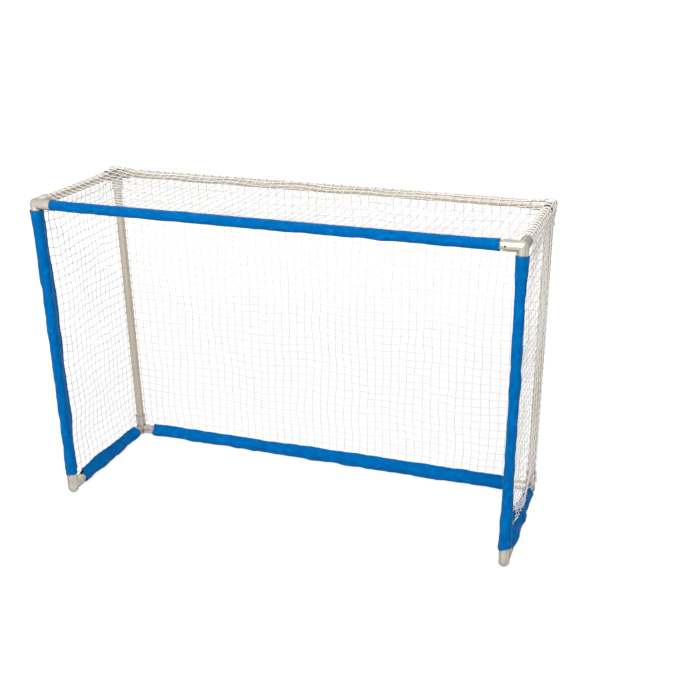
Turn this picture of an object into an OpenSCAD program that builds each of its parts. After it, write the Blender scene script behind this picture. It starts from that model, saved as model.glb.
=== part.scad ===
// Box-shaped hockey goal: steel tubes pushed into moulded corner fittings, cloth sleeves
// round the tubes where the net is sewn on, and a square-mesh net over the outside.
// Frame: +X across the mouth, +Y from the mouth to the back, +Z up, floor at z = 0.

/* [Goal] */
// Width over the corner fittings
goal_w = 1829; // [900:1:2400]
// Height from the floor to the top of the corner fittings
goal_h = 1219; // [700:1:1500]
// Depth over the corner fittings
goal_d = 600; // [420:1:1200]

/* [Tubes] */
// Outside diameter of every tube
tube_d = 32; // [25:0.5:40]
// Wall of every tube
tube_wall = 1.2; // [1:0.1:2.5]
// Length of the reduced end that joins the two halves of a long tube
swage_len = 60; // [30:1:120]
// Length of the cone that leads down to the reduced end
swage_cone = 4; // [2:0.5:8]
// Radial gap between the reduced end and the bore that it enters
swage_clear = 0.1; // [0.05:0.05:0.3]

/* [Corner fittings] */
// Wall of the fitting round a tube
fitting_wall = 3.85; // [3.4:0.05:6]
// Length of an arm, from the crossing of the axes to its mouth
arm_len = 65; // [55:1:90]
// Depth of the socket that takes a tube
socket_depth = 42; // [25:1:44]
// Radial gap between a tube and its socket
socket_clear = 0.15; // [0.05:0.05:0.3]
// Gap between the end of a tube and the shoulder of its socket
seat_gap = 0.3; // [0.1:0.1:0.8]
// Diameter of the hollow core behind the sockets
core_d = 22; // [12:1:24]
// How far the ball at the crossing of the arms stands out from them
ball_proud = 0.15; // [0.05:0.05:0.5]
// Rounding of the outer edge of each mouth
mouth_edge = 1.2; // [0.5:0.1:2]
// Lead-in chamfer inside each mouth
mouth_lead = 1; // [0.5:0.1:1.6]

/* [Screw recess] */
// Width of the long recess on the side where a screw enters
recess_w = 22; // [12:1:24]
// Depth of that recess
recess_depth = 0.8; // [0.4:0.1:1]
// Distance from the mouth to the near end of the recess
recess_margin = 3; // [2:0.5:4]

/* [Screws] */
// Distance of each screw from the mouth of its socket
screw_in = 10; // [8:0.5:16]
// Diameter of a screw head
head_d = 7; // [5:0.5:8]
// Height of a screw head
head_h = 1.8; // [1:0.1:2]
// Diameter of a screw shank
shank_d = 3.8; // [2.5:0.1:4.5]
// Length of a screw shank
shank_len = 6.5; // [4:0.5:9]
// Gap round the head and the shank
screw_clear = 0.2; // [0.1:0.05:0.4]
// Wall left under a screw head
head_seat = 1.45; // [1:0.05:2]

/* [Feet] */
// How far the foot dome is centred below the bottom tubes
foot_drop = 10; // [6:1:20]
// Width of the flat under each foot dome
foot_flat = 17.4; // [15:0.2:24]
// Diameter of a foot pad
pad_d = 14; // [8:0.5:14]
// How far a foot pad stands out of the foot
pad_proud = 1; // [0.5:0.1:3]
// Depth of the pocket that holds a foot pad
pad_pocket = 3; // [2:0.1:6]
// Gap round a foot pad in its pocket
pad_clear = 0.1; // [0.05:0.05:0.3]
// Rounding of the lower edge of a foot pad
pad_edge = 0.6; // [0.2:0.1:1]

/* [Sleeves] */
// Thickness of the sleeve cloth, as two layers
cloth = 1.2; // [0.8:0.1:2]
// Gap between a sleeve and what it fits round
sleeve_clear = 0.4; // [0.2:0.1:0.8]
// Distance from a tube's axis to the sewn edge of its sleeve
seam_reach = 48; // [40:1:70]
// Width of the sewn edge, where both sides of the cloth are stitched together
seam_flat = 5; // [3:0.5:10]
// Gap between the end of a bar sleeve and the mouth beside it
sleeve_end_gap = 3; // [1:0.5:12]
// Distance of a post sleeve's top edge below the crossbar axis
post_sleeve_top = 22; // [21:0.5:50]
// Distance of a post sleeve's lower edge above the bottom axis
post_sleeve_low = 58; // [30:1:60]
// How far back a bottom side sleeve has slid along its tube
sleeve_slid = 13; // [0:1:30]

/* [Net] */
// Size of one square of the real mesh
mesh_pitch = 34.5; // [20:0.5:60]
// Squares of the real mesh in each gap of this net
mesh_per_gap = 3; // [2:1:6]
// Width of a strand
strand_w = 3; // [2:0.1:5]
// Thickness of the net
net_t = 2.2; // [1:0.1:4]
// Width of the doubled strand along each edge of a net panel
hem_w = 5; // [4:0.5:10]
// Gap between a net panel and the sleeves that it lies on
net_clear = 0.4; // [0.2:0.1:0.6]
// Gap between two net panels where they meet at an edge
net_corner = 0.3; // [0.1:0.1:0.6]
// Distance of the net's sewn edges behind, or above, the axes of the sleeved tubes
net_start = 8; // [2:1:30]

/* [Hidden] */
$fn = 64;

tube_r = tube_d / 2;
bore_r = tube_r - tube_wall;
swage_r = bore_r - swage_clear;
socket_r = tube_r + socket_clear;
fitting_r = socket_r + fitting_wall;
ball_r = fitting_r + ball_proud;
shoulder = arm_len - socket_depth;
tube_start = shoulder + seat_gap;
screw_at = arm_len - screw_in;
head_base = socket_r + head_seat;
over = 1; // how far a cutting solid runs past the surface that it cuts
seam_away = [0, 0, 135]; // turns the start of a revolve away from the side that a screw enters

foot_dome = sqrt(pow(fitting_r, 2) - pow(foot_flat / 2, 2));
z_low = pad_proud + foot_dome + foot_drop;
z_high = goal_h - ball_r;
half_w = goal_w / 2 - ball_r;

wide_r = fitting_r + sleeve_clear + cloth;
slim_r = tube_r + sleeve_clear + cloth;
seam_r = cloth;
fold_r = 0.3; // inside radius where the two sides of a sleeve come together
net_off = wide_r + net_clear;
seam_turn = asin((net_off - net_clear - seam_r) / seam_reach);
sleeve_sides = 40; // straight runs round the wide end of a sleeve's outline
tip_sides = 6; // and round its sewn edge

// The footprint, from the front of the post sleeves to the back of the net, is centred on y = 0.
axis_d = goal_d - 2 * ball_r;
y_front = (wide_r - net_off - net_t - axis_d) / 2;
y_rear = y_front + axis_d;

tube_colour = [0.74, 0.73, 0.70];
fitting_colour = [0.78, 0.76, 0.71];
sleeve_colour = [0.0, 0.42, 0.74];
net_colour = [0.95, 0.95, 0.93];
screw_colour = [0.25, 0.24, 0.23];
pad_colour = [0.06, 0.06, 0.06];

X = [1, 0, 0];
Y = [0, 1, 0];
Z = [0, 0, 1];

// Each corner is its place and its arms. An arm is its direction and the side that its screw enters from.
top_front_left = [[-half_w, y_front, z_high], [[X, Z], [Y, Z], [-Z, -X]]];
top_front_right = [[half_w, y_front, z_high], [[-X, -Y], [Y, X], [-Z, -Y]]];
top_rear_left = [[-half_w, y_rear, z_high], [[X, Z], [-Y, Z], [-Z, Y]]];
top_rear_right = [[half_w, y_rear, z_high], [[-X, Z], [-Y, Z], [-Z, X]]];
foot_front_left = [[-half_w, y_front, z_low], [[Z, -Y], [Y, X]]];
foot_front_right = [[half_w, y_front, z_low], [[Z, -Y], [Y, -X]]];
foot_rear_left = [[-half_w, y_rear, z_low], [[Z, Y], [-Y, -X], [X, Y]]];
foot_rear_right = [[half_w, y_rear, z_low], [[Z, Y], [-Y, X], [-X, Y]]];
TOP_CORNERS = [top_front_left, top_front_right, top_rear_left, top_rear_right];
FOOT_CORNERS = [foot_front_left, foot_front_right, foot_rear_left, foot_rear_right];

function place(corner) = corner[0];
function arms(corner) = corner[1];

// Turns local +Z to dir and local +X to side.
module facing(dir, side) {
    third = cross(dir, side);
    multmatrix([
        [side.x, third.x, dir.x, 0],
        [side.y, third.y, dir.y, 0],
        [side.z, third.z, dir.z, 0]
    ]) children();
}

module at_arm(corner, k) {
    translate(place(corner)) facing(arms(corner)[k][0], arms(corner)[k][1]) children();
}

// A cylinder out through the wall on the screw's side of an arm.
module screw_axis(corner, k, r, from = 0) {
    at_arm(corner, k) translate([from, 0, screw_at]) rotate([0, 90, 0])
        cylinder(r = r, h = fitting_r + over - from);
}

// ---- Corner fittings ----

module arm_form() {
    rotate_extrude() {
        square([fitting_r, arm_len - mouth_edge]);
        square([fitting_r - mouth_edge, arm_len]);
        translate([fitting_r - mouth_edge, arm_len - mouth_edge]) circle(r = mouth_edge);
    }
}

module socket_cut() {
    rotate_extrude() polygon([
        [0, 0], [core_d / 2, 0], [core_d / 2, shoulder], [socket_r, shoulder],
        [socket_r, arm_len - mouth_lead], [socket_r + mouth_lead, arm_len],
        [socket_r + mouth_lead, arm_len + over], [0, arm_len + over]
    ]);
}

// A sphere whose poles lie clear of the arms.
module ball(r) {
    rotate([35, 25, 0]) sphere(r = r);
}

// The fitting's outside, less the depth of the recess, which the recess follows.
module recess_floor(corner) {
    r = fitting_r - recess_depth;
    translate(place(corner)) ball(ball_r - recess_depth);
    for (k = [0 : len(arms(corner)) - 1])
        at_arm(corner, k) rotate(seam_away) cylinder(r = r, h = arm_len + over);
    if (place(corner).z == z_low) translate(place(corner)) foot_form(r);
}

// Round at the mouth, and square past the crossing, where two on one face join in an L.
module recess_outline() {
    r = recess_w / 2;
    near = arm_len - recess_margin - r;
    linear_extrude(fitting_r + over) {
        translate([-r, -r]) square([near + r, recess_w]);
        translate([near, 0]) circle(r = r);
    }
}

module recesses(corner) {
    difference() {
        for (k = [0 : len(arms(corner)) - 1])
            at_arm(corner, k) rotate([0, 90, 0]) rotate([0, 0, 180]) recess_outline();
        recess_floor(corner);
    }
}

module corner_fitting(corner) {
    color(fitting_colour) difference() {
        union() {
            translate(place(corner)) ball(ball_r);
            for (k = [0 : len(arms(corner)) - 1]) at_arm(corner, k) rotate(seam_away) arm_form();
            if (place(corner).z == z_low) translate(place(corner)) foot_form(fitting_r);
        }
        translate(place(corner)) ball(core_d / 2 + ball_proud);
        recesses(corner);
        for (k = [0 : len(arms(corner)) - 1]) {
            at_arm(corner, k) rotate(seam_away) socket_cut();
            screw_axis(corner, k, shank_d / 2 + screw_clear);
            screw_axis(corner, k, head_d / 2 + screw_clear, head_base);
        }
        if (place(corner).z == z_low) translate(place(corner)) foot_cut();
    }
}

// ---- Feet ----

foot_base = foot_drop + foot_dome;

// A short leg below the crossing that ends in a dome with a flat under it.
module foot_form(r) {
    rotate_extrude() intersection() {
        translate([0, -foot_drop]) {
            square([r, foot_drop]);
            circle(r = r);
        }
        translate([0, -foot_base]) square([r, foot_base]);
    }
}

module foot_cut() {
    translate([0, 0, -foot_base - over]) cylinder(d = pad_d + 2 * pad_clear, h = pad_pocket + over);
}

module foot_pad(corner) {
    h = pad_pocket + pad_proud;
    color(pad_colour) translate([place(corner).x, place(corner).y, 0]) rotate_extrude() {
        translate([0, pad_edge]) square([pad_d / 2, h - pad_edge]);
        square([pad_d / 2 - pad_edge, h]);
        translate([pad_d / 2 - pad_edge, pad_edge]) circle(r = pad_edge);
    }
}

// ---- Tubes ----

module tube_form(from, to) {
    rotate_extrude() translate([bore_r, from]) square([tube_wall, to - from]);
}

// The half with the reduced end, which enters the other half.
module swaged_form(from, to) {
    in_r = swage_r - tube_wall;
    rotate_extrude() polygon([
        [bore_r, from], [tube_r, from], [tube_r, to - swage_cone], [swage_r, to],
        [swage_r, to + swage_len], [in_r, to + swage_len], [in_r, to], [bore_r, to - swage_cone]
    ]);
}

module whole_tube(a, ka, b, kb) {
    span = norm(place(b) - place(a));
    color(tube_colour) difference() {
        at_arm(a, ka) tube_form(tube_start, span - tube_start);
        screw_axis(a, ka, shank_d / 2 + screw_clear);
        screw_axis(b, kb, shank_d / 2 + screw_clear);
    }
}

module left_half_tube(a, ka) {
    color(tube_colour) difference() {
        at_arm(a, ka) swaged_form(tube_start, half_w);
        screw_axis(a, ka, shank_d / 2 + screw_clear);
    }
}

module right_half_tube(b, kb) {
    color(tube_colour) difference() {
        at_arm(b, kb) tube_form(tube_start, half_w);
        screw_axis(b, kb, shank_d / 2 + screw_clear);
    }
}

// ---- Screws ----

module screw_form() {
    round_r = head_h / 2;
    rotate_extrude() {
        square([head_d / 2, head_h - round_r]);
        square([head_d / 2 - round_r, head_h]);
        translate([head_d / 2 - round_r, head_h - round_r]) intersection() {
            circle(r = round_r);
            square(round_r);
        }
        translate([0, -shank_len]) square([shank_d / 2, shank_len]);
    }
}

module corner_screws() {
    color(screw_colour) for (corner = concat(TOP_CORNERS, FOOT_CORNERS))
        for (k = [0 : len(arms(corner)) - 1])
            at_arm(corner, k) translate([head_base, 0, screw_at]) rotate([0, 90, 0]) screw_form();
}

// ---- Sleeves ----

// A drop-shaped outline: a circle of radius r, drawn out to a small one of radius tip at +X.
module drop(r, tip, reach) {
    turn = acos((r - tip) / reach); // where the straight sides touch both circles
    big = [for (i = [0 : sleeve_sides]) turn + i * (360 - 2 * turn) / sleeve_sides];
    small = [for (i = [0 : tip_sides]) -turn + i * 2 * turn / tip_sides];
    polygon(concat(
        [for (a = big) r * [cos(a), sin(a)]],
        [for (a = small) [reach, 0] + tip * [cos(a), sin(a)]]
    ));
}

// A sleeve along dir, its sewn edge turned from the side called inner towards the side called outer.
module sleeve(from, dir, length, r, inner, outer) {
    seam = inner * cos(seam_turn) + outer * sin(seam_turn);
    color(sleeve_colour) translate(from) facing(dir, seam) linear_extrude(length) difference() {
        drop(r, seam_r, seam_reach);
        drop(r - cloth, fold_r, seam_reach - seam_flat);
    }
}

module bar_sleeve(left_corner, inner, outer) {
    start = arm_len + sleeve_end_gap;
    sleeve(place(left_corner) + start * X, X, 2 * (half_w - start), slim_r, inner, outer);
}

module front_post_sleeve(foot, outer) {
    sleeve(place(foot) + post_sleeve_low * Z, Z, z_high - z_low - post_sleeve_low - post_sleeve_top,
        wide_r, Y, outer);
}

module bottom_side_sleeve(foot, outer) {
    sleeve(place(foot) + (arm_len + sleeve_slid) * Y, Y, axis_d - 2 * arm_len, wide_r, Z, outer);
}

// ---- Net ----

// A flat panel of square mesh in the XY plane, w by h, from the origin.
module net_panel(w, h) {
    across = floor(w / (mesh_pitch * mesh_per_gap));
    up = floor(h / (mesh_pitch * mesh_per_gap));
    gap_w = (w - 2 * hem_w - (across - 1) * strand_w) / across;
    gap_h = (h - 2 * hem_w - (up - 1) * strand_w) / up;
    color(net_colour) linear_extrude(net_t) difference() {
        square([w, h]);
        for (i = [0 : across - 1], j = [0 : up - 1])
            translate([hem_w + i * (gap_w + strand_w), hem_w + j * (gap_h + strand_w)])
                square([gap_w, gap_h]);
    }
}

net_x = half_w + net_off;
net_y = y_rear + net_off;
net_z = z_high + net_off;
net_low = z_low + net_start;
net_front = y_front + net_start;

module net_top() {
    translate([-net_x - net_t, net_front, net_z]) net_panel(2 * (net_x + net_t), net_y + net_t - net_front);
}

module net_back() {
    translate([-net_x - net_t, net_y + net_t, net_low]) rotate([90, 0, 0])
        net_panel(2 * (net_x + net_t), net_z - net_corner - net_low);
}

module net_side(x) {
    translate([x, net_front, net_low]) rotate([90, 0, 90])
        net_panel(net_y - net_corner - net_front, net_z - net_corner - net_low);
}

corner_fitting(top_front_left);  // corner_top_front_left
corner_fitting(top_front_right);  // corner_top_front_right
corner_fitting(top_rear_left);  // corner_top_rear_left
corner_fitting(top_rear_right);  // corner_top_rear_right
corner_fitting(foot_front_left);  // corner_foot_front_left
corner_fitting(foot_front_right);  // corner_foot_front_right
corner_fitting(foot_rear_left);  // corner_foot_rear_left
corner_fitting(foot_rear_right);  // corner_foot_rear_right
left_half_tube(top_front_left, 0);  // crossbar_tube_left
right_half_tube(top_front_right, 0);  // crossbar_tube_right
left_half_tube(top_rear_left, 0);  // rear_top_tube_left
right_half_tube(top_rear_right, 0);  // rear_top_tube_right
left_half_tube(foot_rear_left, 2);  // rear_bottom_tube_left
right_half_tube(foot_rear_right, 2);  // rear_bottom_tube_right
whole_tube(foot_front_left, 0, top_front_left, 2);  // front_post_left
whole_tube(foot_front_right, 0, top_front_right, 2);  // front_post_right
whole_tube(foot_rear_left, 0, top_rear_left, 2);  // rear_post_left
whole_tube(foot_rear_right, 0, top_rear_right, 2);  // rear_post_right
whole_tube(top_front_left, 1, top_rear_left, 1);  // top_side_tube_left
whole_tube(top_front_right, 1, top_rear_right, 1);  // top_side_tube_right
whole_tube(foot_front_left, 1, foot_rear_left, 1);  // bottom_side_tube_left
whole_tube(foot_front_right, 1, foot_rear_right, 1);  // bottom_side_tube_right
bar_sleeve(top_front_left, Y, Z);  // crossbar_sleeve
bar_sleeve(foot_rear_left, Z, Y);  // rear_bottom_sleeve
front_post_sleeve(foot_front_left, -X);  // front_post_sleeve_left
front_post_sleeve(foot_front_right, X);  // front_post_sleeve_right
bottom_side_sleeve(foot_front_left, -X);  // bottom_side_sleeve_left
bottom_side_sleeve(foot_front_right, X);  // bottom_side_sleeve_right
net_top();
net_back();
net_side(-net_x - net_t);  // net_left
net_side(net_x);  // net_right
foot_pad(foot_front_left);  // foot_pad_front_left
foot_pad(foot_front_right);  // foot_pad_front_right
foot_pad(foot_rear_left);  // foot_pad_rear_left
foot_pad(foot_rear_right);  // foot_pad_rear_right
corner_screws();
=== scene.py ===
import math

import bpy
import numpy as np
from mathutils import Euler, Matrix, Vector


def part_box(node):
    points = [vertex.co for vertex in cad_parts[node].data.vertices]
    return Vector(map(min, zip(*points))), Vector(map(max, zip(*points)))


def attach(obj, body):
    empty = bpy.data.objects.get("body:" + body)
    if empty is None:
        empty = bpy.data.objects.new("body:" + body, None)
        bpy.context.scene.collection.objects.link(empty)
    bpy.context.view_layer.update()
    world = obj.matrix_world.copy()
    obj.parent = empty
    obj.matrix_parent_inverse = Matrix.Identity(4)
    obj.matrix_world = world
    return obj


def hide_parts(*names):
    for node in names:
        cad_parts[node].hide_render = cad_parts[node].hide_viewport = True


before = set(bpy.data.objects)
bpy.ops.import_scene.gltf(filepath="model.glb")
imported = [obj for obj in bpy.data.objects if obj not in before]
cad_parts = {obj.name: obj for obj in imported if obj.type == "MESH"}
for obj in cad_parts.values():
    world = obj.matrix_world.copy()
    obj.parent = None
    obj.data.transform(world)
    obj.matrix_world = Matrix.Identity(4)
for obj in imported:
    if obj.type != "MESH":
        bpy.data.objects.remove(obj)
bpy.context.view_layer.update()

# A box-shaped hockey goal: steel tubes in moulded corner fittings, with blue cloth sleeves
# round the tubes where the net is sewn on, and a square-mesh net over the outside.
# The frame is in metres: +X across the mouth, +Y to the back, +Z up, floor at z = 0.


# ---- Places, taken from the frame ----

def middle(node):
    low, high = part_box(node)
    return (low + high) / 2


HALF_W = middle("rear_post_right").x
Y_FRONT = middle("front_post_right").y
Y_REAR = middle("rear_post_right").y
Z_LOW = middle("bottom_side_tube_right").z
Z_HIGH = middle("crossbar_tube_right").z
TUBE_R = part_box("rear_post_right")[1].x - HALF_W
FITTING_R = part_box("corner_top_rear_right")[1].x - HALF_W
ARM_LEN = HALF_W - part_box("corner_top_rear_right")[0].x

MESH_PITCH = 0.0345     # side of one square of the net
STRAND_R = 0.00140      # radius of a strand of the net
EDGE_R = 0.0016         # radius of the doubled strand along the sewn edges
STRAND_SIDES = 5        # of a strand's cross-section
CORD_DEPTH = 0.0015     # how far light goes into the cord's fibres
PRESSED = 2.0           # how much thicker a strand looks where it lies flat on a bar
KNOT = 1.30             # a knot's radius, as a multiple of its strand's
DRIFT = 0.0042          # how far the net's squares wander in its plane, broadly
FINE_DRIFT = 0.0015     # and from one to the next
GATHER = 0.30           # how far the net is drawn in to a corner, as a share of the distance
GATHER_SIZE = 0.10      # and how far from the corner that fades
CLEAR = 0.0003          # what keeps the cloth and the net clear of the bars
ABOVE_FLOOR = 0.0012    # the least height of the cloth's outer face
CLOTH_T = 0.0007        # thickness of the sleeve cloth
TAIL_HALF = 0.0010      # half the thickness of a sleeve's sewn edge
TAIL_FLAT = 0.006       # width of the sewn edge
TAIL_BOW = 0.0012       # how far the cloth beside the sewn edge bows in
TAIL_FREE = 0.15        # how free the cloth is where it leaves the sewn edge; 1 is quite free
TAIL_LEAN = 0.0018      # how far the tail wanders outwards,
TAIL_REACH = 0.0014     # how much its width wanders,
TAIL_PULL = 0.0005      # and how far each strand of the net pulls it
SEWN_IN = 0.0035        # distance of the net's edge from the outer edge of the tail
HEM = 0.012             # width of the hem at a sleeve's ends
HEM_RAISED = 0.0006     # how much thicker the hem is than the cloth
PUCKER = 0.0008         # depth of the puckers beside the seam
PUCKER_LENGTH = 0.0125  # from one pucker to the next
STITCH_LENGTH = 0.0042  # from one stitch to the next
STITCH_ROWS = (0.0025, TAIL_FLAT + 0.0062)   # how far round from the tail's edge, on its two sides
ARM_MOUTH = 0.006       # over what length the cloth steps from a bar to a fitting's arm
RING_STEP = 0.0055      # from one ring of a sleeve's vertices to the next
POINTS_FLANK = 8        # vertices of a ring on each side of the tail,
POINTS_ROUND = 44       # round the bar
POINTS_TIP = 5          # and at the tail's edge
GOAL_MIDDLE = (0.0, 0.0, 0.6)
TINY = 1e-9             # keeps a length that is divided by off zero

X, Y, Z = np.eye(3)


# ---- Small helpers ----

def srgb(*values):
    """A linear colour from 8-bit sRGB values."""
    parts = [value / 255 for value in values]
    return (*(c / 12.92 if c <= 0.04045 else ((c + 0.055) / 1.055) ** 2.4 for c in parts), 1.0)


def ease(value, low, high):
    """0 below low, 1 above high and smooth between them."""
    t = np.clip((value - low) / (high - low), 0, 1)
    return t * t * (3 - 2 * t)


def new_object(name, data):
    obj = bpy.data.objects.new(name, data)
    bpy.context.scene.collection.objects.link(obj)
    return obj


class Waves:
    """Smooth noise over points of any dimension: a sum of cosines with seeded directions."""

    def __init__(self, seed, shortest, longest, count=14, weights=(1, 1, 1)):
        rng = np.random.default_rng(seed)
        turn = rng.normal(size=(count, 3))
        turn /= np.linalg.norm(turn, axis=1)[:, None]
        length = np.exp(rng.uniform(math.log(shortest), math.log(longest), count))
        self.k = turn * (2 * math.pi / length)[:, None] * np.asarray(weights, float)
        self.phase = rng.uniform(0, 2 * math.pi, count)
        self.scale = math.sqrt(2 / count)

    def __call__(self, points):
        points = np.asarray(points, float)
        return np.cos(points @ self.k[:, :points.shape[-1]].T + self.phase).sum(-1) * self.scale


# ---- Material nodes ----

def empty_tree(owner, output):
    """The node tree of a material or world with only its output, and that output's surface socket."""
    owner.use_nodes = True
    tree = owner.node_tree
    tree.nodes.clear()
    return tree, tree.nodes.new(output).inputs["Surface"]


def new_node(tree, kind, inputs, **settings):
    """A node with its settings and inputs, each of which is a socket to link from or a plain value."""
    node = tree.nodes.new(kind)
    for name, value in settings.items():
        setattr(node, name, value)
    for key, value in inputs.items():
        if isinstance(value, bpy.types.NodeSocket):
            tree.links.new(value, node.inputs[key])
        else:
            node.inputs[key].default_value = value
    return node


def new_material(name):
    mat = bpy.data.materials.new(name)
    tree, surface = empty_tree(mat, "ShaderNodeOutputMaterial")
    shader = new_node(tree, "ShaderNodeBsdfPrincipled", {})
    tree.links.new(shader.outputs[0], surface)
    return mat, tree, shader


def coordinates(tree, scale=(1, 1, 1), uv=None):
    """The place on the object, or in the named UV map, times the scale."""
    if uv:
        place = new_node(tree, "ShaderNodeUVMap", {}, uv_map=uv).outputs["UV"]
    else:
        place = new_node(tree, "ShaderNodeTexCoord", {}).outputs["Object"]
    return new_node(tree, "ShaderNodeMapping", {"Vector": place, "Scale": scale}).outputs["Vector"]


def noise(tree, vector, scale, detail, rough=0.55):
    inputs = {"Vector": vector, "Scale": scale, "Detail": detail, "Roughness": rough}
    return new_node(tree, "ShaderNodeTexNoise", inputs).outputs["Fac"]


def wave_bands(tree, vector, direction, scale, distortion):
    inputs = {"Vector": vector, "Scale": scale, "Distortion": distortion}
    return new_node(tree, "ShaderNodeTexWave", inputs, bands_direction=direction).outputs["Fac"]


def spread(tree, value, low, high, to_low=0.0, to_high=1.0):
    """Maps value from the range low to high on the range to_low to to_high."""
    inputs = {"Value": value, "From Min": low, "From Max": high, "To Min": to_low, "To Max": to_high}
    return new_node(tree, "ShaderNodeMapRange", inputs).outputs["Result"]


def maths(tree, operation, *values):
    return new_node(tree, "ShaderNodeMath", dict(enumerate(values)), operation=operation).outputs[0]


def add(tree, first, second, second_weight=1.0):
    return maths(tree, "MULTIPLY_ADD", second, second_weight, first)


def blend_colours(tree, factor, first, second):
    """From the first colour to the second. The Mix node's colour sockets are 6, 7 and, going out, 2."""
    inputs = {"Factor": factor, 6: first, 7: second}
    return new_node(tree, "ShaderNodeMix", inputs, data_type="RGBA").outputs[2]


def tinted(tree, base, value, low, high, share, colour):
    """The base with colour laid over it as value goes from low to high, up to that share."""
    return blend_colours(tree, spread(tree, value, low, high, 0, share), base, colour)


def set_surface(tree, shader, base, value, smooth, rough):
    """Sets the shader's base colour, and a roughness that follows a noise value between two limits."""
    tree.links.new(base, shader.inputs["Base Color"])
    tree.links.new(spread(tree, value, 0.3, 0.7, smooth, rough), shader.inputs["Roughness"])


def bump(tree, shader, height, distance, strength):
    inputs = {"Height": height, "Distance": distance, "Strength": strength}
    normal = new_node(tree, "ShaderNodeBump", inputs).outputs["Normal"]
    tree.links.new(normal, shader.inputs["Normal"])


def crevice_shade(tree, distance, low, high):
    """1 in the corners and recesses of a piece and 0 on its open faces: where shade is painted."""
    node = new_node(tree, "ShaderNodeAmbientOcclusion", {"Distance": distance}, samples=8)
    return spread(tree, node.outputs["AO"], low, high, 1.0, 0.0)


def stitches(tree, cloth):
    """1 on the stitches: rows along the sleeve, at set distances from the edge of its tail."""
    along, across, _ = new_node(tree, "ShaderNodeSeparateXYZ", {0: cloth}).outputs
    lines = []
    for row in STITCH_ROWS:
        away = maths(tree, "ABSOLUTE", maths(tree, "ADD", across, row))
        lines.append(spread(tree, away, 0.0003, 0.0006, 1.0, 0.0))
    beat = maths(tree, "FRACT", maths(tree, "DIVIDE", along, STITCH_LENGTH))
    from_middle = maths(tree, "ABSOLUTE", maths(tree, "SUBTRACT", beat, 0.5))
    dash = spread(tree, from_middle, 0.30, 0.38, 1.0, 0.0)
    return maths(tree, "MULTIPLY", maths(tree, "MAXIMUM", *lines), dash)


# ---- Materials ----

def fitting_material():
    """Moulded plastic, painted light silver: a fine grain, scuffs, and painted shade in its corners and
    recesses.
    """
    mat, tree, shader = new_material("fitting_plastic")
    place = coordinates(tree)
    mottle = noise(tree, place, 38, 4)
    scuffs = noise(tree, coordinates(tree, (1, 1, 0.22)), 260, 5, 0.7)
    grain = noise(tree, place, 1500, 2)
    base = tinted(tree, srgb(188, 180, 169), mottle, 0.35, 0.65, 1, srgb(204, 197, 187))
    base = tinted(tree, base, scuffs, 0.62, 0.74, 0.4, srgb(164, 152, 138))
    # painted shade: the corners and recesses are darkened where little light reaches them
    base = blend_colours(tree, crevice_shade(tree, 0.006, 0.55, 0.95), base, srgb(116, 106, 95))
    set_surface(tree, shader, base, mottle, 0.30, 0.38)
    shader.inputs["Metallic"].default_value = 0.68
    shader.inputs["Specular Tint"].default_value = (0.12, 0.10, 0.08, 1)
    bump(tree, shader, add(tree, grain, scuffs, 0.5), 0.00010, 0.4)
    return mat


def tube_material(axis):
    """Silver-grey paint on a drawn steel tube, with faint streaks along it and rubbed marks."""
    mat, tree, shader = new_material("tube_paint_" + "xyz"[axis])
    place = coordinates(tree)
    stretched = tuple(5.0 if k == axis else 260.0 for k in range(3))
    streaks = noise(tree, coordinates(tree, stretched), 1.0, 4, 0.6)
    cloud = noise(tree, place, 14, 3)
    rubbed = noise(tree, place, 240, 5, 0.7)
    base = tinted(tree, srgb(189, 178, 162), streaks, 0.3, 0.7, 1, srgb(209, 200, 186))
    base = tinted(tree, base, cloud, 0.45, 0.75, 0.35, srgb(187, 175, 159))
    base = tinted(tree, base, rubbed, 0.66, 0.76, 0.4, srgb(150, 138, 122))
    set_surface(tree, shader, base, streaks, 0.40, 0.48)
    shader.inputs["Metallic"].default_value = 0.6
    shader.inputs["Specular Tint"].default_value = (0.30, 0.26, 0.22, 1)
    bump(tree, shader, streaks, 0.00006, 0.5)
    return mat


def sleeve_material():
    """Blue nylon: a fine plain weave, small creases with painted highlights on their crests and painted
    shade in their hollows, and two rows of stitches along the tail.
    """
    mat, tree, shader = new_material("sleeve_nylon")
    cloth = coordinates(tree, uv="cloth")
    cloud = noise(tree, coordinates(tree), 22, 4, 0.6)
    creases = noise(tree, coordinates(tree, (1.0, 2.2, 1.0), uv="cloth"), 34, 5, 0.62)
    sewn = stitches(tree, cloth)
    base = tinted(tree, srgb(0, 100, 173), cloud, 0.3, 0.7, 1, srgb(0, 114, 192))
    # painted highlight on the crests of the creases, then painted shade in their hollows
    base = tinted(tree, base, creases, 0.54, 0.76, 0.75, srgb(0, 146, 222))
    base = tinted(tree, base, creases, 0.46, 0.27, 0.7, srgb(0, 83, 151))
    base = blend_colours(tree, sewn, base, srgb(24, 130, 200))
    set_surface(tree, shader, base, cloud, 0.44, 0.54)
    shader.inputs["Specular IOR Level"].default_value = 0.05
    shader.inputs["Specular Tint"].default_value = srgb(90, 180, 255)
    weave = add(tree, *(wave_bands(tree, cloth, direction, 260, 0.6) for direction in "XY"))
    relief = add(tree, add(tree, weave, creases, 9.0), sewn, 3.0)
    bump(tree, shader, relief, 0.00022, 0.6)
    return mat


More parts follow.
